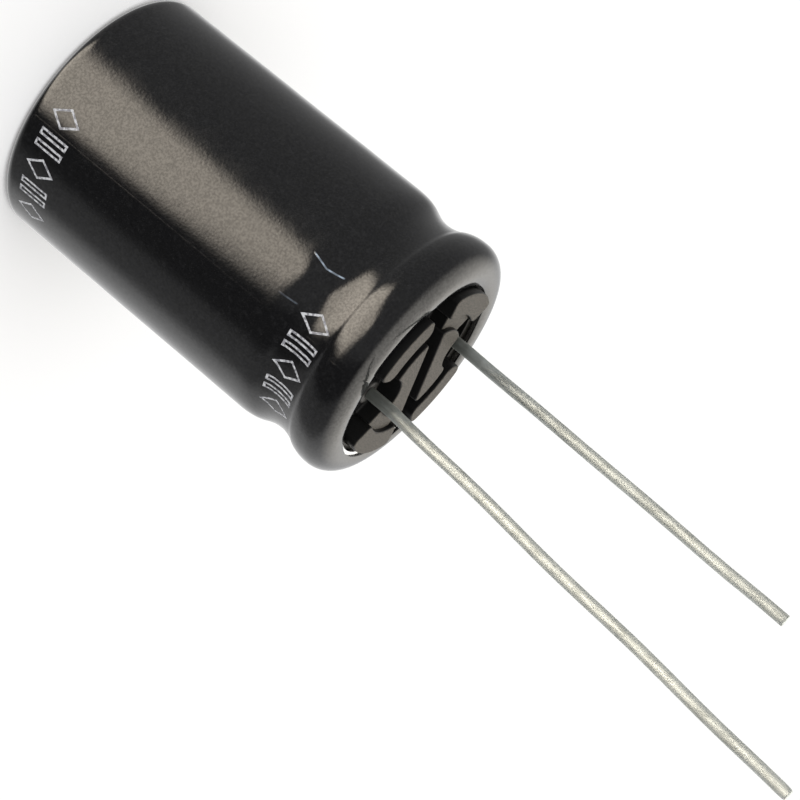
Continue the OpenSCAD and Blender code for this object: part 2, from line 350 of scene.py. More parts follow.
# %% Mesh helpers
def piece_from(name, verts, faces, material, node=None):
    """Makes a smooth-shaded piece from points in millimetres, which rides on the object."""
    mesh = bpy.data.meshes.new(name)
    mesh.from_pydata((np.asarray(verts) * MM).tolist(), [], faces)
    mesh.validate()
    mesh.shade_smooth()
    mesh.materials.append(material)
    piece = bpy.data.objects.new(name, mesh)
    bpy.context.scene.collection.objects.link(piece)
    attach(piece, "root")
    if node:
        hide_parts(node)
    print(f"{name}: {len(mesh.vertices)} points, {len(mesh.polygons)} faces")


def hoop_faces(hoops, count, closed=False):
    """Four-sided faces between hoops that follow each other, each of count points."""
    faces = []
    for h in range(hoops if closed else hoops - 1):
        a, b = h * count, (h + 1) % hoops * count
        for i in range(count):
            j = (i + 1) % count
            faces.append((a + i, a + j, b + j, b + i))
    return faces


def waves(around, along, strength, seed):
    """Slow unevenness over an angle in radians and a length in millimetres, about strength high."""
    random = np.random.default_rng(seed)
    total = np.zeros(np.broadcast(around, along).shape)
    for turns in (1, 2, 3, 5, 8):
        for length in (31.0, 13.0, 6.5):
            phase = random.uniform(0, 2 * math.pi, 2)
            ripple = np.cos(2 * math.pi * along / length + phase[1])
            total += np.cos(turns * around + phase[0]) * ripple / turns
    return strength * total / 3


# %% [markdown]
# ## Sleeve
# A real sleeve is a length of printed tube that is slipped over the can and shrunk with hot air. It
# follows the barrel, bridges the bead groove in a softer dip and draws in over both ends, where its
# cut edge stays a little uneven and off centre. On the side that was heated first the dip has slipped
# towards the closed end. Where the dip turns into the rim the film has set in a fine step, which parts
# the softbox's reflection into two leaves. It could be a solid with a shell modifier, but the edge and
# the slow unevenness of shrunk film are easier as a section that is walked once round: for each angle
# the same section is cut where that angle's edge lies, and nudged in and out a little.

# %% Sleeve section
CAN_R = 8.0
CURL_R = 1.35
CURL_X = CAN_R - CURL_R
CURL_Z = 24.11
GROOVE_Z = 21.63
CORNER_R = 0.55
FILM = 0.13
FILM_OUT = 0.14
SKIN_R = CAN_R + FILM_OUT
DIP_DEPTH = 0.6
# radius of the dip's bottom and of its shoulder, on the barrel's side and on the rim's side
DIP_RADII = ((2.80, 1.90), (2.55, 2.15))
# the film has set in a fine step where the dip turns into the rim: its height, width and rise
STEP_Z = 22.9
STEP_W = 0.14
STEP_RISE = 0.017
FOOT_R = 6.6
# distance between the section's points, and how far film rounds a bend where it is tight and loose
SECTION_STEP = 0.02
TIGHT_BEND, LOOSE_BEND = 0.06, 0.42
LOOSE_Z, LOOSE_REACH = 19.3, 1.2
# the rim's curl starts inside this radius
WALL_IN = 7


def arc(x, z, radius, start, stop, step=SECTION_STEP):
    """Points on an arc in the section plane, from start to stop degrees."""
    count = max(3, int(abs(math.radians(stop - start)) * radius / step))
    a = np.radians(np.linspace(start, stop, count))
    return np.stack([x + radius * np.cos(a), z + radius * np.sin(a)], 1)


def line(x0, z0, x1, z1, step=SECTION_STEP):
    """Points on a straight stretch of the section."""
    count = max(2, int(math.hypot(x1 - x0, z1 - z0) / step))
    return np.stack([np.linspace(x0, x1, count), np.linspace(z0, z1, count)], 1)


def sleeve_section():
    """Outer line of the sleeve from its foot to well past its mouth, evenly spaced and softened."""
    r = SKIN_R
    corner = CORNER_R + FILM_OUT
    (low_r, low_shoulder), (high_r, high_shoulder) = DIP_RADII
    reach = low_r + low_shoulder
    half = math.sqrt(reach**2 - (reach - DIP_DEPTH) ** 2)
    lean = math.degrees(math.asin(half / reach))
    bottom = r - DIP_DEPTH
    parts = [
        line(FOOT_R, 0, r - corner, 0),
        arc(r - corner, corner, corner, -90, 0),
        line(r, corner, r, GROOVE_Z - half),
        arc(r - low_shoulder, GROOVE_Z - half, low_shoulder, 0, lean),
        arc(bottom + low_r, GROOVE_Z, low_r, 180 + lean, 180),
        arc(bottom + high_r, GROOVE_Z, high_r, 180, 180 - lean),
        arc(r - high_shoulder, GROOVE_Z + half, high_shoulder, -lean, 0),
        line(r, GROOVE_Z + half, r, CURL_Z),
        arc(CURL_X, CURL_Z, CURL_R + FILM_OUT, 0, 150),
    ]
    path = np.concatenate(parts)
    path = path[np.r_[True, np.hypot(*np.diff(path, axis=0).T) > 1e-6]]
    run = np.r_[0, np.cumsum(np.hypot(*np.diff(path, axis=0).T))]
    even = np.arange(0, run[-1], SECTION_STEP)
    path = np.stack([np.interp(even, run, path[:, k]) for k in (0, 1)], 1)
    along = (path[:, 1] - STEP_Z) / STEP_W
    path[:, 0] += STEP_RISE * along * np.exp(-0.5 * along**2)
    # the film is tight at the ends, but lies loosely over the step above the barrel
    loose = np.exp(-(((path[:, 1:] - LOOSE_Z) / LOOSE_REACH) ** 2)) * (path[:, :1] > WALL_IN)
    return soften(path, TIGHT_BEND) * (1 - loose) + soften(path, LOOSE_BEND) * loose


def soften(path, reach):
    """The path blurred over reach, as film does that bridges every corner."""
    width = int(3 * reach / SECTION_STEP)
    weights = np.exp(-0.5 * (np.arange(-width, width + 1) * SECTION_STEP / reach) ** 2)
    weights /= weights.sum()
    soft = path.copy()
    for k in (0, 1):
        padded = np.pad(path[:, k], width, mode="reflect", reflect_type="odd")
        soft[:, k] = np.convolve(padded, weights, mode="valid")
    return soft


section = sleeve_section()
print("sleeve section:", len(section), "points, widest", round(section[:, 0].max(), 3), "mm")

# %% Where the hoops go
BARREL_STEP = 0.45
FINE_STEP = 0.13
PLAIN_LOW, PLAIN_HIGH = 1.6, 18.2


def section_stops(path):
    """Places along the section where a hoop goes: close together at bends, wide apart on the barrel."""
    run = np.r_[0, np.cumsum(np.hypot(*np.diff(path, axis=0).T))]
    plain = (path[:, 1] > PLAIN_LOW) & (path[:, 1] < PLAIN_HIGH)
    rate = np.where(plain, 1 / BARREL_STEP, 1 / FINE_STEP)
    rate[np.abs(path[:, 1] - STEP_Z) < 4 * STEP_W] = 3 / STEP_W
    count = np.r_[0, np.cumsum(0.5 * (rate[1:] + rate[:-1]) * np.diff(run))]
    stops = np.interp(np.arange(0, count[-1]), count, run)
    return run, stops


run, stops = section_stops(section)
print("sleeve hoops from foot to mouth:", len(stops))

# %% Mouth, thin place and slip
MOUTH_R = 6.15
MOUTH_OFF = 0.2
MOUTH_DIR = math.radians(24)
# height, turns and phase of the waves that the knife left in the cut edge
CUT_WAVES = ((0.02, 3, 1.1), (0.012, 7, 0.4), (0.006, 17, 0))
# turns in degrees between which the film is drawn thin: in at a fold, out slowly
THIN_TURNS = (288, 293, 325, 350)
SLIP = 0.35
SLIP_TURN = -47
SLIP_Z, SLIP_REACH = 21.3, 1.15
# how far round the slip reaches, and how wide its soft edge is, in degrees
SLIP_WIDE, SLIP_EDGE = 100, 60


def mouth_radius(angle):
    """Distance from the axis to the sleeve's cut edge, which is a circle off the axis, cut by hand."""
    a = angle - MOUTH_DIR
    cut = sum(high * np.cos(turns * angle + phase) for high, turns, phase in CUT_WAVES)
    return MOUTH_OFF * np.cos(a) + np.sqrt(MOUTH_R**2 - (MOUTH_OFF * np.sin(a)) ** 2) + cut


def drawn_thin(angle):
    """Share by which the film is drawn thin over the rim: it starts at a fold and fades out."""
    come, full, wane, gone = THIN_TURNS
    a = math.degrees(angle)
    return min(max((a - come) / (full - come), 0), 1) * min(max((gone - a) / (gone - wane), 0), 1)


def dip_slip(angle, z):
    """How far the film's dip has slipped towards the closed end, on the side that was heated first."""
    away = np.abs((np.degrees(angle) - SLIP_TURN + 180) % 360 - 180)
    share = np.clip((SLIP_WIDE - away) / SLIP_EDGE, 0, 1)
    return SLIP * share**2 * (3 - 2 * share) * np.exp(-(((z - SLIP_Z) / SLIP_REACH) ** 2))


def film_waves(angle, z):
    """How far the film stands in or out: nothing at its foot, then slow waves."""
    return waves(angle, z, 0.010, SEED) * np.clip((z - 0.2) / 2, 0, 1)


print("dip slips by", round(float(dip_slip(math.radians(SLIP_TURN), SLIP_Z)), 2), "mm at most")

# %% Sleeve mesh
COLUMNS = 288
LIP_HOOPS = 16
THIN_BY = 0.04
THIN_Z, THIN_RISE = 25.1, 0.3


def sleeve_hoops():
    """One closed loop of section points for each angle: out along the skin, back along the inside."""
    tangent = np.gradient(section, axis=0)
    tangent /= np.hypot(*tangent.T)[:, None]
    normal = np.stack([tangent[:, 1], -tangent[:, 0]], 1)
    crest = run[section[:, 1].argmax()]
    past = run > crest
    columns = []
    for angle in np.arange(COLUMNS) * 2 * math.pi / COLUMNS:
        end = np.interp(-mouth_radius(angle), -section[past, 0], run[past])
        out = np.r_[stops[stops < crest], np.linspace(crest, end, LIP_HOOPS + 1)]
        # the inside is seen only at the lip, so it has fewer points
        back = np.r_[out[:-LIP_HOOPS:6], out[-LIP_HOOPS::2]][::-1]
        both = [np.interp(np.r_[out, back], run, section[:, k]) for k in (0, 1)]
        side = [np.interp(np.r_[out, back], run, normal[:, k]) for k in (0, 1)]
        inset = np.r_[np.zeros(len(out)), np.full(len(back), FILM)]
        # the two cut edges are rounded a little by pulling their corners in
        inset[[0, len(out) - 1]] = FILM * 0.3
        inset[[len(out), -1]] = FILM * 0.7
        outer = np.r_[np.ones(len(out)), np.zeros(len(back))]
        inset += outer * THIN_BY * drawn_thin(angle) * np.clip((both[1] - THIN_Z) / THIN_RISE, 0, 1)
        x, z = both[0] - side[0] * inset, both[1] - side[1] * inset
        z = z - dip_slip(angle, z)
        x += film_waves(angle, z)
        columns.append(np.stack([x * math.cos(angle), x * math.sin(angle), np.maximum(z, 0)], 1))
    return np.array(columns)


hoops = sleeve_hoops()
print("sleeve hoops:", hoops.shape)

# %% [markdown]
# ### Sleeve film
# The film is black, shiny plastic, but not a mirror: hot air leaves a fine pebbled skin that breaks
# up what it reflects. A very low colour with a fine bump gives that, while a rough flat colour would
# only look like dull paint. The tube is stored flat, and its two fold lines still show faintly. Below
# the dip two short creases stand up as a ridge in the bump, and a bluish-white glint is painted on
# them.

# %% Film material
FILM_BLACK = (0.0035, 0.0035, 0.0042)
FILM_DUST = (0.011, 0.011, 0.012)
FOLD_TURN = math.radians(-26.5)
# painted bluish-white glint that the two creases carry in their colour
CREASE_GLINT_COLOUR = (0.42, 0.5, 0.6)
# turn, height of the kink, slope of its two arms, lowest and highest end
LONG_CREASE = (math.radians(-54.0), 0.02005, 0.25, 0.0189, 0.02115)
SHORT_CREASE = (math.radians(-35.3), 0.0187, 0.06, 0.0187, 0.0201)
CREASE_FADE = 0.0002


def around_line(tree, turn):
    """Position turned so that its first part points at a line along the barrel."""
    turned = add_node(tree, "ShaderNodeVectorRotate", {"rotation_type": "Z_AXIS"}, Vector=place(tree))
    turned.inputs["Angle"].default_value = -turn
    return add_node(tree, "ShaderNodeSeparateXYZ", Vector=turned.outputs[0]).outputs


def crease(tree, turn, kink, slope, low, high):
    """A pinched line along the barrel from low to high that has a kink at a height, in metres."""
    ahead, across, z = around_line(tree, turn)
    bent = times(tree, maths(tree, "ABSOLUTE", maths(tree, "SUBTRACT", z, kink)), slope)
    off = maths(tree, "ABSOLUTE", maths(tree, "ADD", across, bent))
    near = times(tree, ramp(tree, off, 0.00002, 0.00007, 1, 0), ramp(tree, ahead, 0, 0.001))
    ends = within(tree, z, (low, low + CREASE_FADE, high - CREASE_FADE, high))
    return times(tree, near, ends)


def film_material():
    material, tree, shader = new_material("shrunk_film")
    dust = ramp(tree, grain(tree, 0.00028, detail=4), 0.5, 0.75)
    colour = mix_colour(tree, dust, FILM_BLACK, FILM_DUST)
    faint = times(tree, crease(tree, *SHORT_CREASE), 0.2)
    broken = ramp(tree, grain(tree, 0.0004, detail=1), 0.35, 0.6, 0.45, 1)
    # the creases' mask raises a ridge in the bump and paints a bluish-white glint into the colour
    pinched = times(tree, maths(tree, "ADD", crease(tree, *LONG_CREASE), faint), broken)
    colour = mix_colour(tree, pinched, colour, CREASE_GLINT_COLOUR)
    rough = ramp(tree, grain(tree, 0.0011, detail=3), 0.3, 0.7, 0.09, 0.15)
    pebbles = times(tree, grain(tree, 0.00016, detail=1.5), 0.6)
    skin = maths(tree, "ADD", pebbles, times(tree, grain(tree, 0.0007), 0.5))
    across = around_line(tree, FOLD_TURN)[1]
    fold = ramp(tree, maths(tree, "ABSOLUTE", across), 0.00003, 0.00014, 1, 0)
    lines = maths(tree, "ADD", times(tree, fold, 0.6), times(tree, pinched, 3.0))
    link_finish(tree, shader, colour, rough, maths(tree, "ADD", skin, lines), 0.0000055)
    mottle = ramp(tree, grain(tree, 0.00013, detail=2), 0.3, 0.7, 0.4, 0.6)
    tree.links.new(mottle, shader.inputs["Specular IOR Level"])
    shader.inputs["IOR"].default_value = 1.5
    return material


sleeve_faces = hoop_faces(COLUMNS, hoops.shape[1], True)
piece_from("sleeve_film", hoops.reshape(-1, 3), sleeve_faces, film_material(), "sleeve")

# %% [markdown]
# ## Print on the sleeve
# The real sleeve is printed in thin white lines, in one row near each end. The words are left out,
# and a row of plain outlined marks of the same size and weight takes their place. On the side of the
# short lead such a sleeve has a stripe with minus signs. Ink could be painted by a mask in the
# material, but thin ribbons that lie on the film keep their edges sharp at any distance.

# %% Ribbons of ink
INK_LIFT = 0.006
STROKE = 0.14
RIBBON_STEP = 0.09
ROW_TOPS = (1.5, 20.5)
MARK_H = 1.9
MARK_PITCH = 1.76
MARK_W = 1.25
BAR_W = 0.32
BAR_IN = 0.1
MARKS = 5
FIRST_MARK = math.radians(-38.2)


def film_radius(angle, z):
    """Radius of the sleeve's skin at an angle and a height, before its unevenness."""
    side = (section[:, 0] > WALL_IN) & (section[:, 1] > 0.3) & (section[:, 1] < CURL_Z + 1)
    before = z
    for _ in range(8):
        before = z + dip_slip(angle, before)
    return np.interp(before, section[side, 1], section[side, 0])


def on_film(around, z, lift):
    """Points on the sleeve from a length around it and a height, both in millimetres."""
    angle = around / SKIN_R
    r = film_radius(angle, z) + film_waves(angle, z) + lift
    return np.stack([r * np.cos(angle), r * np.sin(angle), z], 1)


def ribbon(points, width, closed):
    """A flat ribbon along points in the unrolled plane: its two edges, finely spaced."""
    p = np.asarray(points, float)
    if closed:
        p = np.vstack([p, p[:1]])
    legs = np.hypot(*np.diff(p, axis=0).T)
    corners = np.r_[0, np.cumsum(legs)]
    stretches = [(a, b, max(2, int((b - a) / RIBBON_STEP))) for a, b in zip(corners, corners[1:])]
    fine = np.unique(np.concatenate([np.linspace(*stretch) for stretch in stretches]))
    q = np.stack([np.interp(fine, corners, p[:, k]) for k in (0, 1)], 1)
    if closed:
        q = q[:-1]
        before, after = np.roll(q, 1, 0), np.roll(q, -1, 0)
    else:
        before, after = np.vstack([q[:1], q[:-1]]), np.vstack([q[1:], q[-1:]])
    a = q - before
    b = after - q
    a = np.where(np.hypot(*a.T)[:, None] > 1e-9, a, b)
    b = np.where(np.hypot(*b.T)[:, None] > 1e-9, b, a)
    a /= np.hypot(*a.T)[:, None]
    b /= np.hypot(*b.T)[:, None]
    na = np.stack([-a[:, 1], a[:, 0]], 1)
    nb = np.stack([-b[:, 1], b[:, 0]], 1)
    n = na + nb
    n /= (1 + (na * nb).sum(1))[:, None]
    return q + n * width / 2, q - n * width / 2


def add_ribbon(store, points, closed=True, width=STROKE):
    """Appends one ribbon's points and faces to store."""
    left, right = ribbon(points, width, closed)
    start = sum(len(v) for v in store[0])
    n = len(left)
    store[0].extend([on_film(*left.T, INK_LIFT), on_film(*right.T, INK_LIFT)])
    for i in range(n if closed else n - 1):
        j = (i + 1) % n
        store[1].append((start + i, start + n + i, start + n + j, start + j))


def mark_outlines(left, top):
    """A diamond, or two bars, inside the box that one printed sign takes up."""
    middle, right = left + MARK_W / 2, left + MARK_W
    half, high = top + MARK_H / 2, top + MARK_H
    diamond = [[(left, half), (middle, top), (right, half), (middle, high)]]
    bars = []
    for x in (left + BAR_IN, right - BAR_IN - BAR_W):
        bars.append([(x, top), (x + BAR_W, top), (x + BAR_W, high), (x, high)])
    return diamond, bars


def print_rows(store):
    for top in ROW_TOPS:
        for i in range(MARKS):
            diamond, bars = mark_outlines(FIRST_MARK * SKIN_R + i * MARK_PITCH, top)
            for outline in bars if i % 2 else diamond:
                add_ribbon(store, outline)


# %% Polarity stripe
STRIPE_W = 3.6
STRIPE_ENDS = (1.2, 22.9)
MINUS_W, MINUS_H = 2.0, 0.5
MINUS_COUNT = 5


def polarity_stripe(store):
    """Two lines along the barrel at the short lead's side, with minus signs between them."""
    middle = math.pi * SKIN_R
    low, high = STRIPE_ENDS
    for side in (-0.5, 0.5):
        x = middle + side * STRIPE_W
        add_ribbon(store, [(x, low), (x, high)], closed=False)
    for i in range(MINUS_COUNT):
        z = low + (high - low) * (i + 0.5) / MINUS_COUNT
        add_ribbon(store, [(middle - MINUS_W / 2, z), (middle + MINUS_W / 2, z)], False, MINUS_H)


# %% Ink material
INK_WHITE = (0.72, 0.73, 0.76)
INK_THIN = (0.28, 0.28, 0.31)


def ink_material():
    material, tree, shader = new_material("white_ink")
    patches = ramp(tree, grain(tree, 0.00018, detail=3), 0.42, 0.62)
    colour = mix_colour(tree, patches, INK_WHITE, INK_THIN)
    rough = ramp(tree, grain(tree, 0.0003), 0.3, 0.7, 0.4, 0.6)
    link_finish(tree, shader, colour, rough, grain(tree, 0.00006), 0.000003)
    return material


store = ([], [])
print_rows(store)
polarity_stripe(store)
piece_from("print_marks", np.concatenate(store[0]), store[1], ink_material())

# %% [markdown]
# ## Rubber bung
# The bung is one moulded disc: a flat floor with a round middle pad, four outer pads like pieces of
# a ring, gas channels between them and a round hollow at each lead. Every pad is first drawn as a
# distance field, which makes cut-outs and rounded corners a matter of minimum and maximum. Its
# outline is then found at several insets by walking out from its middle, and those outlines are
# stacked into a pad with a flared foot and a rounded rim. One union joins pads and disc, so that the
# bung is a single closed skin as the moulding is.

# %% Distance fields of the relief
PAD_R = 5.85
RING_R = 4.25
MIDDLE_R = 3.2
CHANNEL_W = 1.3
CHANNEL_TURN = math.radians(3)
HOLLOW_R = 1.6
LEAD_X = 3.75
# turns in degrees where each ring-shaped pad starts and stops, and the radius of its corners
WIDE_PAD = (-153, -95, 0.4)
NARROW_PAD = (-75, -27, 0.6)
LOW_BRIDGE = (-149, -101, 0.1)
BRIDGE_LAP = 0.1
CHANNEL_BLEND, HOLLOW_BLEND = 0.3, 0.25


def ring_piece(p, inner, outer, start, stop, corner):
    """Distance to a piece of a ring between two angles, with its corners rounded."""
    reach = np.hypot(p[:, 0], p[:, 1])
    middle = math.radians((start + stop) / 2)
    turn = np.abs(np.angle(np.exp(1j * (np.arctan2(p[:, 1], p[:, 0]) - middle))))
    across = np.abs(reach - (inner + outer) / 2) - (outer - inner) / 2 + corner
    along = reach * (turn - math.radians((stop - start) / 2)) + corner
    past = np.hypot(np.maximum(across, 0), np.maximum(along, 0))
    return past + np.minimum(np.maximum(across, along), 0) - corner


def disc(p, x, y, r):
    return np.hypot(p[:, 0] - x, p[:, 1] - y) - r


def both(a, b, blend):
    """What lies in a and in b, with the corner between them rounded by about blend."""
    gap = np.maximum(blend - np.abs(a - b), 0)
    return np.maximum(a, b) + gap**2 / (4 * blend)


def middle_pad(p):
    channel = p[:, 0] * math.cos(CHANNEL_TURN) + p[:, 1] * math.sin(CHANNEL_TURN) + CHANNEL_W / 2
    halved = both(disc(p, 0, 0, MIDDLE_R), channel, CHANNEL_BLEND)
    return both(halved, -disc(p, -LEAD_X, 0, HOLLOW_R), HOLLOW_BLEND)


def wide_pad(p):
    return ring_piece(p, RING_R, PAD_R, *WIDE_PAD)


def narrow_pad(p):
    return ring_piece(p, RING_R, PAD_R, *NARROW_PAD)


def low_bridge(p):
    return ring_piece(p, MIDDLE_R - BRIDGE_LAP, RING_R + BRIDGE_LAP, *LOW_BRIDGE)


# %% Stack an outline into a pad
BUNG_FLOOR = 24.6
PAD_TOP = 25.95
BRIDGE_DROP = 0.3
RIM_R = 0.11
SINK = 0.2
OUTLINE_STEP = 0.08
WALK_END, WALK_STEP = 9.0, 0.05
# inset and height over the floor of the flared foot's outlines
FOOT = ((-0.1, -SINK), (-0.1, 0), (-0.05, 0.04), (-0.025, 0.12))
# how far inside the rounded rim the flat top gets its own outline
FLAT_IN = 0.06
FIRST_POINTS = 1441


def walk_out(field, middle, angles, inset):
    """Points where the field reaches -inset on the way out from a point inside it."""
    ways = np.stack([np.cos(angles), np.sin(angles)], 1)
    near, far = np.zeros(len(angles)), np.full(len(angles), WALK_END)
    for reach in np.arange(WALK_STEP, WALK_END, WALK_STEP):
        inside = field(middle + reach * ways) < -inset
        near = np.where(inside & (far == WALK_END), reach, near)
        far = np.where(~inside & (far == WALK_END), reach, far)
    for _ in range(24):
        half = (near + far) / 2
        inside = field(middle + half[:, None] * ways) < -inset
        near, far = np.where(inside, half, near), np.where(inside, far, half)
    return middle + near[:, None] * ways


def pad_levels(top):
    """Inset and height of each outline: flared foot, drafted wall, rounded rim, flat top."""
    levels = [(inset, BUNG_FLOOR + rise) for inset, rise in FOOT] + [(0, top - RIM_R)]
    for a in np.radians((22.5, 45, 67.5, 90)):
        levels.append((RIM_R * (1 - math.cos(a)), top - RIM_R * (1 - math.sin(a))))
    return levels + [(RIM_R + FLAT_IN, top)]


def pad_solid(field, middle, top, turned):
    """Points and faces of one pad, turned by an angle about the bung's axis."""
    middle = np.array(middle, float)
    angles = np.linspace(0, 2 * math.pi, FIRST_POINTS)
    loop = walk_out(field, middle, angles, 0)
    run = np.r_[0, np.cumsum(np.hypot(*np.diff(loop, axis=0).T))]
    even = np.linspace(0, run[-1], int(run[-1] / OUTLINE_STEP), endpoint=False)
    angles = np.interp(even, run, angles)
    levels = pad_levels(top)
    verts = []
    for inset, z in levels:
        x, y = walk_out(field, middle, angles, inset).T
        turned_x = x * math.cos(turned) - y * math.sin(turned)
        turned_y = x * math.sin(turned) + y * math.cos(turned)
        verts.append(np.stack([turned_x, turned_y, np.full(len(x), z)], 1))
    n = len(angles)
    faces = hoop_faces(len(levels), n)
    faces.append(tuple(range((len(levels) - 1) * n, len(levels) * n)))
    faces.append(tuple(range(n))[::-1])
    return np.concatenate(verts), faces


def ring_point(radius, degrees):
    return radius * math.cos(math.radians(degrees)), radius * math.sin(math.radians(degrees))


# distance field of each pad, a point inside it to walk out from, and the height of its top
PADS = (
    (middle_pad, (-1.05, 0), PAD_TOP),
    (wide_pad, ring_point(5.08, -124), PAD_TOP),
    (narrow_pad, ring_point(5.08, -51), PAD_TOP),
    (low_bridge, ring_point(3.75, -125), PAD_TOP - BRIDGE_DROP),
)

# %% Disc, collars and bores
BUNG_LOW = 18.9
LOW_EDGE_R = 7
SEAL = 0.37
WIRE_R = 0.375
STEM_R = 0.95
WELD_Z = 23.9
COLLAR_R = 0.85
COLLAR_H = 0.35
GROOVE_DEPTH = 1.0
GROOVE_R = 1.9
SHOULDER_R = 1.36
# the ledge that the curl's cut edge presses on, and the play round stem and wire
EDGE_R, EDGE_H = 6.3, 0.4
PLAY = 0.02


def turned_solid(section_points, count, centre=(0, 0)):
    """A closed solid turned from section points (radius, height) that start and end on the axis."""
    s = np.asarray(section_points)
    angles = np.arange(count) * 2 * math.pi / count
    rings = s[1:-1]
    ways = [(math.cos(a), math.sin(a)) for a in angles]
    verts = [(centre[0] + r * x, centre[1] + r * y, z) for r, z in rings for x, y in ways]
    faces = hoop_faces(len(rings), count)
    low, high = len(verts), len(verts) + 1
    verts += [(*centre, s[0][1]), (*centre, s[-1][1])]
    last = (len(rings) - 1) * count
    for i in range(count):
        j = (i + 1) % count
        faces.append((low, j, i))
        faces.append((high, last + i, last + j))
    return np.array(verts), faces


def disc_section():
    """Section of the disc: it fills the can, pinched by the bead and held under the curl."""
    r = CAN_R - SEAL
    bottom, shoulder = GROOVE_R + SEAL, SHOULDER_R - SEAL
    reach = bottom + shoulder
    half = math.sqrt(reach**2 - (reach - GROOVE_DEPTH) ** 2)
    lean = math.degrees(math.asin(half / reach))
    middle = r - GROOVE_DEPTH + bottom
    wall = np.concatenate([
        line(r, BUNG_LOW, r, GROOVE_Z - half, 0.5),
        arc(r - shoulder, GROOVE_Z - half, shoulder, 8, lean, 0.15),
        arc(middle, GROOVE_Z, bottom, 180 + lean, 180 - lean, 0.15)[1:],
        arc(r - shoulder, GROOVE_Z + half, shoulder, -lean, -4, 0.15)[1:],
        arc(CURL_X, CURL_Z, CURL_R - SEAL, 0, 65, 0.1),
    ])
    edge = BUNG_FLOOR + EDGE_H
    top = [[EDGE_R, edge], [PAD_R, edge], [PAD_R - 0.1, edge - 0.06], [PAD_R - 0.12, BUNG_FLOOR]]
    return np.vstack([[0, BUNG_LOW], [LOW_EDGE_R, BUNG_LOW], wall, top, [0, BUNG_FLOOR]])


def collar_section():
    low, high = COLLAR_R + 0.1, COLLAR_R - 0.1
    top = BUNG_FLOOR + COLLAR_H
    foot = [(0, BUNG_FLOOR - SINK), (low, BUNG_FLOOR - SINK), (low, BUNG_FLOOR)]
    rim = [(high + 0.05, top - 0.09), (high, top - 0.03), (high - 0.07, top)]
    return foot + rim + [(0.2, top), (0, top)]


def bore_section():
    """A wide bore for the stem and, above the weld, a narrow one for the wire."""
    stem, wire, shoulder = STEM_R + PLAY, WIRE_R + 2 * PLAY, WELD_Z + PLAY
    low, high = BUNG_LOW - 1, PAD_TOP + 1
    return [(0, low), (stem, low), (stem, shoulder), (wire, shoulder), (wire, high), (0, high)]


# %% [markdown]
# ### Bung rubber
# The pads' tops are matte and speckled from the mould, and their grey is painted light: faces that
# stand high and point up are made lighter, as the light falls on them. The walls and channel floors
# are smoother and keep the rubber's black, which also stands for the shade in them. Height and the
# way a face points tell one from the other, so one material does both.

# %% Rubber material
# painted light: high faces that point up get this lit grey with darker specks
LIT_TOP_GREY = (0.1, 0.09, 0.076)
LIT_TOP_SPECKS = (0.035, 0.032, 0.028)
RUBBER_BLACK = (0.005, 0.005, 0.005)


def rubber_material():
    material, tree, shader = new_material("bung_rubber")
    height = add_node(tree, "ShaderNodeSeparateXYZ", Vector=place(tree)).outputs[2]
    facing = add_node(tree, "ShaderNodeNewGeometry").outputs["Normal"]
    upward = add_node(tree, "ShaderNodeSeparateXYZ", Vector=facing).outputs[2]
    raised = ramp(tree, height, 0.02485, 0.02535)
    # painted light: grey where a face stands high and points up, black in the walls and channels
    flat = times(tree, raised, ramp(tree, upward, 0.55, 0.95))
    specks = ramp(tree, grain(tree, 0.00011, detail=3), 0.42, 0.62)
    matte = mix_colour(tree, specks, LIT_TOP_GREY, LIT_TOP_SPECKS)
    colour = mix_colour(tree, flat, RUBBER_BLACK, matte)
    rough = ramp(tree, flat, 0, 1, 0.38, 0.62)
    link_finish(tree, shader, colour, rough, grain(tree, 0.00009, detail=3), 0.000012)
    tree.links.new(ramp(tree, flat, 0, 1, 0.2, 0.21), shader.inputs["Specular IOR Level"])
    return material


# %% Join the bung
DISC_SIDES, BORE_SIDES = 160, 48
# edges that turn by more degrees than this stay crisp
CRISP_FROM = 34


def loose_solid(name, verts, faces):
    mesh = bpy.data.meshes.new(name)
    mesh.from_pydata((np.asarray(verts) * MM).tolist(), [], faces)
    obj = bpy.data.objects.new(name, mesh)
    bm = bmesh.new()
    bm.from_mesh(mesh)
    bmesh.ops.recalc_face_normals(bm, faces=bm.faces)
    bm.to_mesh(mesh)
    bm.free()
    return obj


def at_leads(name, section_points):
    """Two turned solids of that section, one round each lead."""
    places = [(side * LEAD_X, 0) for side in (-1, 1)]
    return [loose_solid(name, *turned_solid(section_points, BORE_SIDES, at)) for at in places]


def combine(base, tools, operation):
    """Joins or cuts base by each tool and removes the tools."""
    bpy.context.scene.collection.objects.link(base)
    for tool in tools:
        bpy.context.scene.collection.objects.link(tool)
        modifier = base.modifiers.new("cut", "BOOLEAN")
        modifier.operation = operation
        modifier.solver = "EXACT"
        modifier.object = tool
    graph = bpy.context.evaluated_depsgraph_get()
    mesh = bpy.data.meshes.new_from_object(base.evaluated_get(graph))
    for obj in (base, *tools):
        bpy.data.objects.remove(obj)
    return mesh


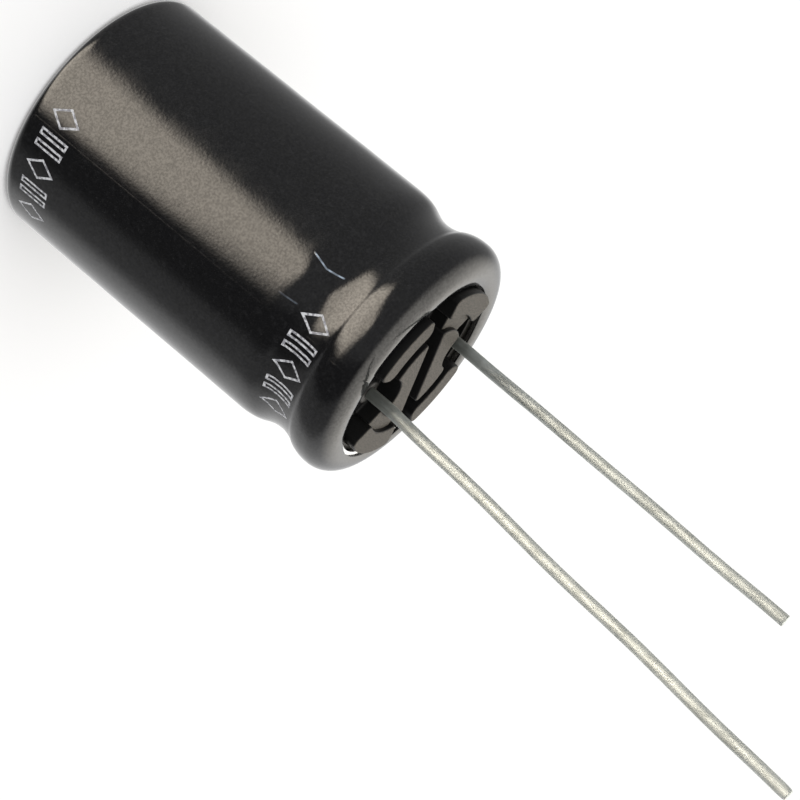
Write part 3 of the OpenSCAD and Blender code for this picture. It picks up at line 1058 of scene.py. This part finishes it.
def build_bung():
    base = loose_solid("disc", *turned_solid(disc_section(), DISC_SIDES))
    solids = []
    for half in (0, math.pi):
        for field, middle, top in PADS:
            solids.append(loose_solid("pad", *pad_solid(field, middle, top, half)))
    solids += at_leads("collar", collar_section())
    solid = bpy.data.objects.new("solid", combine(base, solids, "UNION"))
    bores = at_leads("bore", bore_section())
    mesh = combine(solid, bores, "DIFFERENCE")
    mesh.name = "bung"
    mesh.shade_smooth()
    mesh.set_sharp_from_angle(angle=math.radians(CRISP_FROM))
    mesh.materials.clear()
    mesh.materials.append(rubber_material())
    piece = bpy.data.objects.new("bung_rubber", mesh)
    bpy.context.scene.collection.objects.link(piece)
    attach(piece, "root")
    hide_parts("rubber_bung")
    print("bung:", len(mesh.vertices), "points,", len(mesh.polygons), "faces")


build_bung()

# %% [markdown]
# ## Leads
# Each lead is one round tinned wire. It leaves the bung upright, bends once and then runs nearly
# straight, with the slight waviness of wire that came off a reel, to an end that shears have pinched.
# A sweep does this: a ring is carried along the wire's middle line, and the last rings are squeezed.

# %% Lead path and rings
BEND_Z = 26.4
CREST_Z = 25.6
LONG_RISE, SHORT_RISE = 31.2, 24.86
LONG_SLANT, SHORT_SLANT = 5.47, 1.48
RING = 40
RING_STEP, TIP_LENGTH, TIP_RINGS = 0.16, 1.2, 28
BEND_SOFT = 0.5
# length of the waves along X and Y, and the length over which they fade at both ends
WAVE_X, WAVE_Y, WAVE_FADE = 11.0, 14.0, 4
PINCH, PINCH_REACH, PINCH_END = 0.16, 0.12, 0.8


def lead_middle(side, slant, rise, wobble):
    """Middle line of a lead in millimetres, with a soft bend and a slight wave."""
    top = CREST_Z + rise
    low_tip = top - TIP_LENGTH
    z = np.r_[np.arange(WELD_Z, low_tip, RING_STEP), np.linspace(low_tip, top, TIP_RINGS)]
    past = z - BEND_Z
    soft = 0.5 * (past + np.sqrt(past**2 + BEND_SOFT**2))
    x = side * LEAD_X + soft * math.tan(math.radians(slant))
    fade = np.clip(past / WAVE_FADE, 0, 1) * np.clip((top - z) / WAVE_FADE, 0, 1)
    high_x, high_y, phase_x, phase_y = wobble
    x += high_x * fade * np.sin(2 * math.pi * past / WAVE_X + phase_x)
    y = high_y * fade * np.sin(2 * math.pi * past / WAVE_Y + phase_y)
    return np.stack([x, y, z], 1)


def lead_rings(middle, pinch_turn):
    """Rings along the wire; the last ones are squeezed as by shears."""
    along = np.gradient(middle, axis=0)
    along /= np.linalg.norm(along, axis=1)[:, None]
    side = np.cross(along, [0, 1, 0])
    side /= np.linalg.norm(side, axis=1)[:, None]
    other = np.cross(along, side)
    angles = np.arange(RING) * 2 * math.pi / RING
    rings = []
    left = np.linalg.norm(middle - middle[-1], axis=1)
    for p, a, b, gap in zip(middle, side, other, left):
        pinch = PINCH * math.exp(-gap / PINCH_REACH) if gap < PINCH_END else 0.0
        reach = WIRE_R * (1 - pinch * np.cos(angles - pinch_turn) ** 2)
        reach *= 1 + 0.006 * np.cos(3 * angles + p[2]) * math.cos(1.7 * p[2])
        rings.append(p + np.outer(np.cos(angles) * reach, a) + np.outer(np.sin(angles) * reach, b))
    return rings


def close_wire(rings, middle):
    """Closes both ends: plain below, slightly domed and ridged where it was sheared."""
    ends = []
    for inset, drop in ((0.12, -0.02), (0.35, 0.0), (0.7, -0.015)):
        ring = rings[-1] + (middle[-1] - rings[-1]) * inset
        ends.append(ring + [0, 0, drop])
    rings = rings + ends
    verts = np.concatenate(rings)
    faces = hoop_faces(len(rings), RING)
    faces.append(tuple(range(RING))[::-1])
    last = (len(rings) - 1) * RING
    faces.append(tuple(range(last, last + RING)))
    return verts, faces


# %% [markdown]
# ### Tinned wire
# Dipped tin is bright but never polished: it has pits, faint lengthways draw marks and a slightly
# yellow cast. The marks come from noise that is stretched along the wire.

# %% Tin material
TIN_LIGHT = (0.63, 0.66, 0.645)
TIN_DARK = (0.42, 0.44, 0.42)
TIN_STAIN_AND_SHADE = (0.16, 0.17, 0.145)
# heights in metres between which the darkening at the lead's root fades: partly a flux stain,
# partly painted shade near the bung
STAIN_AND_SHADE_RISE = (0.0268, 0.0292)


def tin_material():
    material, tree, shader = new_material("tinned_wire")
    streaks = grain(tree, 0.00016, stretch=(1, 1, 0.12), detail=4, rough=0.6)
    pits = ramp(tree, grain(tree, 0.0002, stretch=(1, 1, 0.5), detail=3), 0.6, 0.74)
    clouds = ramp(tree, grain(tree, 0.0012, detail=3), 0.35, 0.7)
    worn = times(tree, clouds, ramp(tree, streaks, 0.35, 0.7))
    spots = maths(tree, "MAXIMUM", worn, times(tree, pits, 0.7))
    colour = mix_colour(tree, spots, TIN_LIGHT, TIN_DARK)
    height = add_node(tree, "ShaderNodeSeparateXYZ", Vector=place(tree)).outputs[2]
    edge = maths(tree, "ADD", height, times(tree, grain(tree, 0.0006, detail=3), 0.003))
    # darker at the lead's root: partly a flux stain, partly painted shade near the bung
    colour = mix_colour(tree, ramp(tree, edge, *STAIN_AND_SHADE_RISE, 0.65, 0), colour, TIN_STAIN_AND_SHADE)
    rough = ramp(tree, streaks, 0.3, 0.7, 0.58, 0.72)
    relief = maths(tree, "SUBTRACT", streaks, times(tree, pits, 0.8))
    link_finish(tree, shader, colour, rough, relief, 0.000014)
    shader.inputs["Metallic"].default_value = 0.95
    return material


tin = tin_material()
# side, slant, rise, and the wave's heights and phases along X and Y
LEADS = {
    "long_lead": (1, LONG_SLANT, LONG_RISE, (0.03, 0.035, 0.4, 1.9)),
    "short_lead": (-1, SHORT_SLANT, SHORT_RISE, (0.045, 0.05, 2.2, 0.3)),
}
for node, (side, slant, rise, wobble) in LEADS.items():
    middle = lead_middle(side, slant, rise, wobble)
    verts, faces = close_wire(lead_rings(middle, math.radians(40 * side)), middle)
    piece_from(node + "_wire", verts, faces, tin, node)

# %% [markdown]
# ## Can and winding
# The can keeps its exact solid and gets drawn aluminium: bright, with fine rings from the press. The
# wound element inside is never seen, but each strip still gets the finish of its real material, so
# that the object can be opened up.


# %% Metal and paper finishes
def dress(material, *nodes):
    """Gives carried-over solids their finish."""
    for node in nodes:
        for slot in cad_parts[node].material_slots:
            slot.material = material
        print(node, "gets", material.name)


def aluminium(name, light, dark, rough_low, rough_high, grain_size, stretch):
    """Bare aluminium: brightness, gloss and draw marks that run as the stretch says."""
    material, tree, shader = new_material(name)
    marks = grain(tree, grain_size, stretch=stretch, detail=4, rough=0.6)
    colour = mix_colour(tree, ramp(tree, marks, 0.35, 0.7), light, dark)
    rough = ramp(tree, marks, 0.3, 0.7, rough_low, rough_high)
    link_finish(tree, shader, colour, rough, marks, 0.000006)
    shader.inputs["Metallic"].default_value = 1.0
    return material


def strip(name, light, dark, rough, size, stretch):
    """Paper or film: two tones of fibre, matte or shiny by rough."""
    material, tree, shader = new_material(name)
    fibres = grain(tree, size, stretch=stretch, detail=5, rough=0.65)
    colour = mix_colour(tree, ramp(tree, fibres, 0.35, 0.65), light, dark)
    rough = ramp(tree, fibres, 0.3, 0.7, rough, rough + 0.15)
    link_finish(tree, shader, colour, rough, fibres, 0.00001)
    return material


# %% Dress the solids
# light and dark tone, roughness (for metals from and to), size of the grain in metres, its stretch
CAN = (0.88, 0.885, 0.89), (0.74, 0.745, 0.75), 0.16, 0.3, 0.0003, (1, 1, 6)
TAB = (0.84, 0.845, 0.85), (0.7, 0.7, 0.71), 0.25, 0.4, 0.0002, (1, 1, 0.2)
ANODE = (0.42, 0.425, 0.43), (0.3, 0.305, 0.31), 0.55, 0.7, 0.0001, (1, 1, 1)
CATHODE = (0.6, 0.605, 0.61), (0.47, 0.475, 0.48), 0.45, 0.6, 0.0001, (1, 1, 1)
PAPER = (0.74, 0.67, 0.5), (0.6, 0.52, 0.36), 0.55, 0.00025, (1, 1, 0.3)
TAPE = (0.62, 0.45, 0.18), (0.52, 0.36, 0.13), 0.2, 0.0006, (1, 1, 0.2)
dress(aluminium("drawn_can", *CAN), "can")
dress(aluminium("tab_metal", *TAB), "positive_tab", "negative_tab")
dress(aluminium("etched_anode", *ANODE), "anode_foil")
dress(aluminium("etched_cathode", *CATHODE), "cathode_foil")
dress(strip("soaked_paper", *PAPER), "inner_paper", "outer_paper")
dress(strip("film_tape", *TAPE), "closing_tape")

# %% [markdown]
# ## Measure and finish
# Both boxes, of the frame and of the looks, are printed side by side. The looks may not
# outgrow the frame.

# %% Finish
new_low, new_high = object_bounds()
sizes = {"cad": [list(cad_low), list(cad_high)], "visual": [list(new_low), list(new_high)]}
for name, (low, high) in sizes.items():
    print(name, "box in mm:", [round(c / MM, 2) for c in (*low, *high)])
